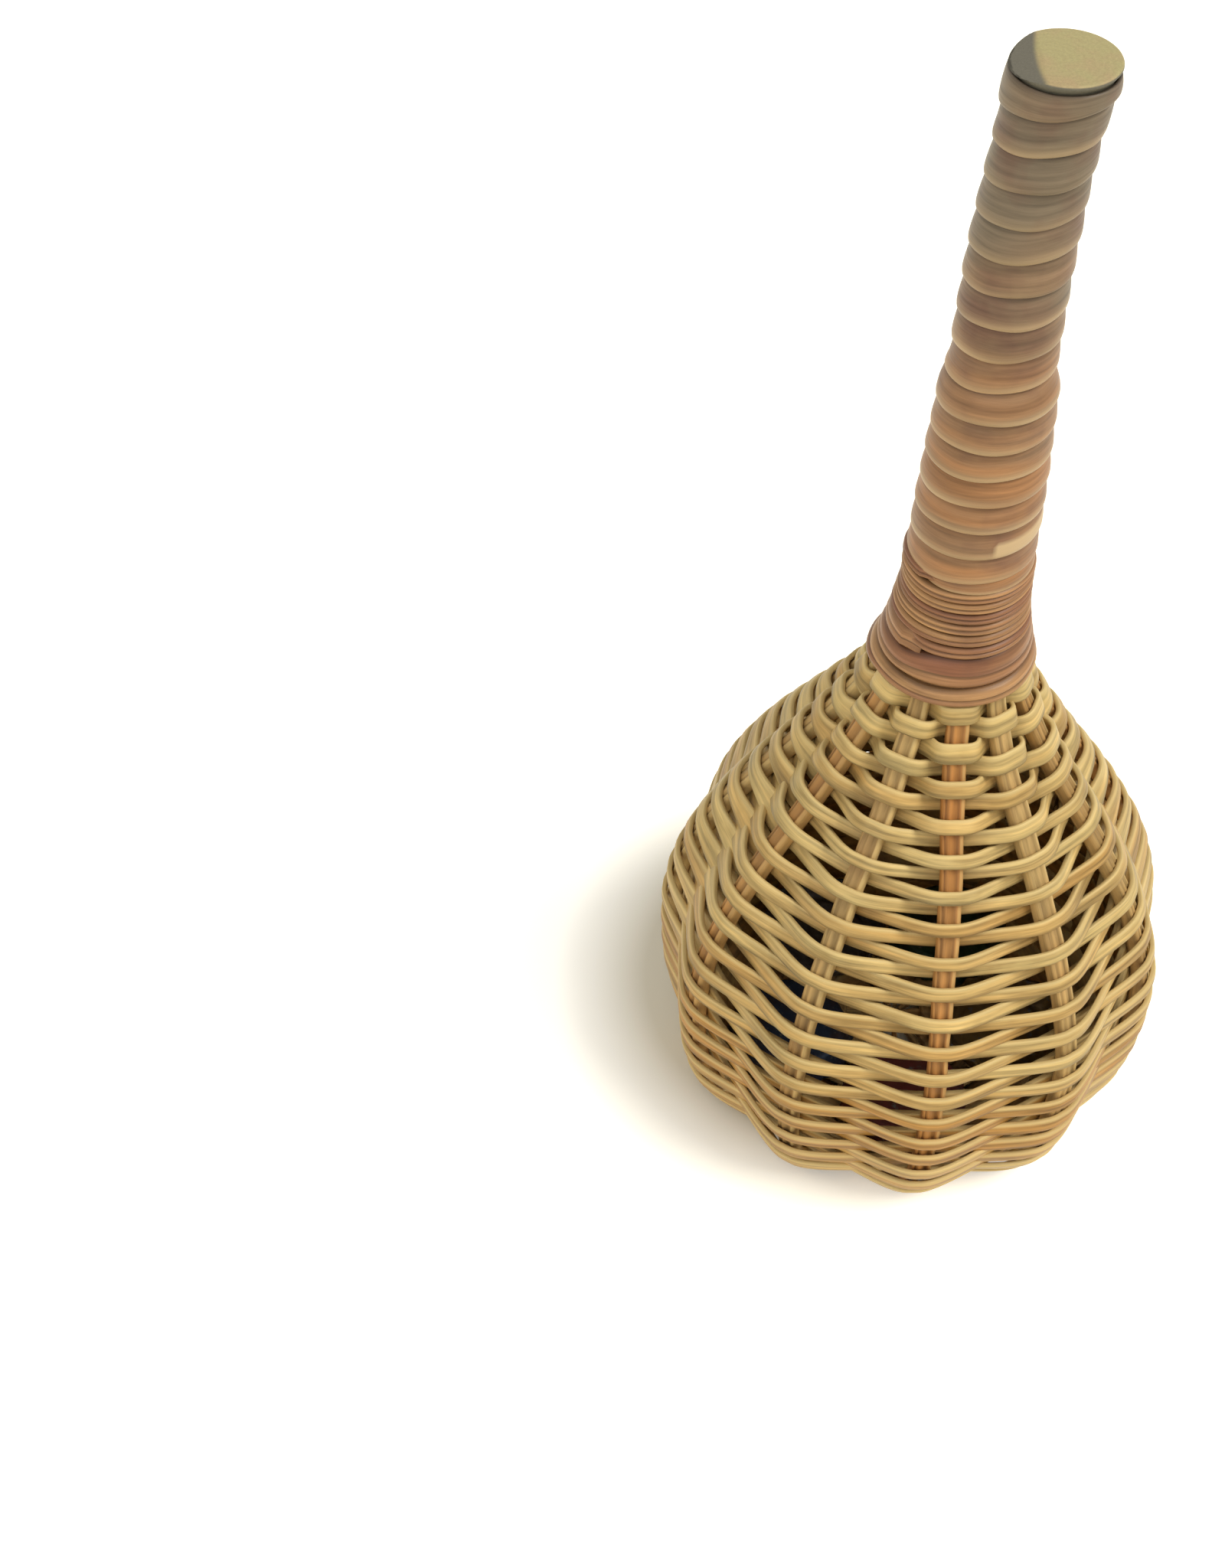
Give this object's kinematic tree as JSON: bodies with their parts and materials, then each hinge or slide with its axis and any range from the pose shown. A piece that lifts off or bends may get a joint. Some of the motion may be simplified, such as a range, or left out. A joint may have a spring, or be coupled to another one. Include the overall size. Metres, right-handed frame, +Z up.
{
  "type": "woven bottlecap shaker",
  "caption": "Hand shaker: a pear-shaped woven cane basket with loose crown caps inside, its stakes bound to a cane-wrapped stick handle.",
  "frame": {"origin": "middle of the woven base, on the surface that the shaker stands on", "axes": "+Z up along the handle, -Y towards the stake that faces the viewer"},
  "size_m": [0.1195, 0.1184, 0.273],
  "materials": {
    "cane_straw": "pale straw split cane, satin, with lengthwise fibre",
    "cane_tan": "tan split cane with fine ridges",
    "cane_brown": "orange-brown split cane with fine ridges",
    "collar_cane": "reddish-brown cane peel, slightly glossy",
    "wrap_cane": "flat cane peel, brown to grey-olive, pale cut edges",
    "stick_wood": "pale sawn wood end",
    "tack_steel": "dulled steel",
    "cap_red": "worn, rusted plain red paint",
    "cap_gold": "worn, rusted plain gold lacquer",
    "cap_green": "worn, rusted plain green paint",
    "cap_silver": "dull, rusted plain tinplate",
    "cap_blue": "worn, rusted plain blue paint"
  },
  "bodies": {
    "shaker": {"stake_1": "cane_brown", "stake_2": "cane_tan", "stake_3": "cane_tan", "stake_4": "cane_brown", "stake_5": "cane_tan", "stake_6": "cane_tan", "stake_7": "cane_brown", "stake_8": "cane_tan", "stake_9": "cane_tan", "stake_10": "cane_brown", "stake_11": "cane_tan", "base_weaver": "cane_tan", "wall_weaver_1": "cane_straw", "wall_weaver_2": "cane_straw", "wall_weaver_3": "cane_straw", "wall_weaver_4": "cane_straw", "wall_weaver_5": "cane_straw", "neck_weaver": "cane_straw", "handle_core": "stick_wood", "neck_band": "collar_cane", "neck_binding": "collar_cane", "handle_wrap": "wrap_cane", "wrap_tack": "tack_steel"},
    "cap_1": {"bottlecap_1": "cap_red"},
    "cap_2": {"bottlecap_2": "cap_gold"},
    "cap_3": {"bottlecap_3": "cap_green"},
    "cap_4": {"bottlecap_4": "cap_silver"},
    "cap_5": {"bottlecap_5": "cap_blue"}
  },
  "joints": [
    {"name": "cap_1_toss", "type": "slide", "parent": "shaker", "child": "cap_1", "axis": [0, 0, 1], "range_m": [0, 0.055]},
    {"name": "cap_2_toss", "type": "slide", "parent": "shaker", "child": "cap_2", "axis": [0, 0, 1], "range_m": [0, 0.055]},
    {"name": "cap_3_toss", "type": "slide", "parent": "shaker", "child": "cap_3", "axis": [0, 0, 1], "range_m": [0, 0.055]},
    {"name": "cap_4_toss", "type": "slide", "parent": "shaker", "child": "cap_4", "axis": [0, 0, 1], "range_m": [0, 0.055]},
    {"name": "cap_5_toss", "type": "slide", "parent": "shaker", "child": "cap_5", "axis": [0, 0, 1], "range_m": [0, 0.055]}
  ]
}
